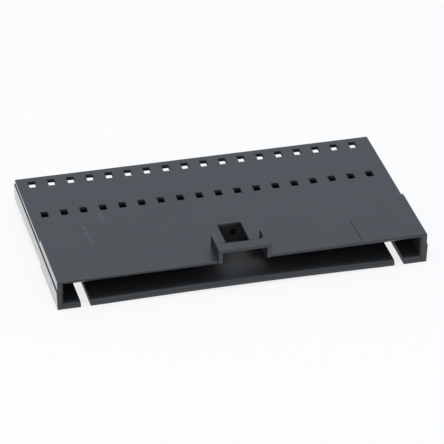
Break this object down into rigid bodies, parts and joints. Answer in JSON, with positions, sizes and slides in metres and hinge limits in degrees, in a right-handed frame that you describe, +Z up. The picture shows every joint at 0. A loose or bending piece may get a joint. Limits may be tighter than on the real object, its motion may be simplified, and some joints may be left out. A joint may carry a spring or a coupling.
{
  "type": "crimp_connector_housing",
  "caption": "Flat black moulded housing for a single row of crimp contacts, with window rows on top, an open shrouded mouth and a latch bridge over it",
  "frame": {"origin": "middle of the housing's outline, level with the underside of the shroud", "axes": "+X runs along the row of ways, -Y is the open mouth, +Y is the end where the wires go in, +Z is up through the side with the windows and the bridge"},
  "size_m": [0.0478, 0.0266, 0.0058],
  "materials": {
    "black_plastic": "moulded, fine matt texture"
  },
  "bodies": {
    "root": {"housing": "black_plastic"}
  },
  "joints": []
}
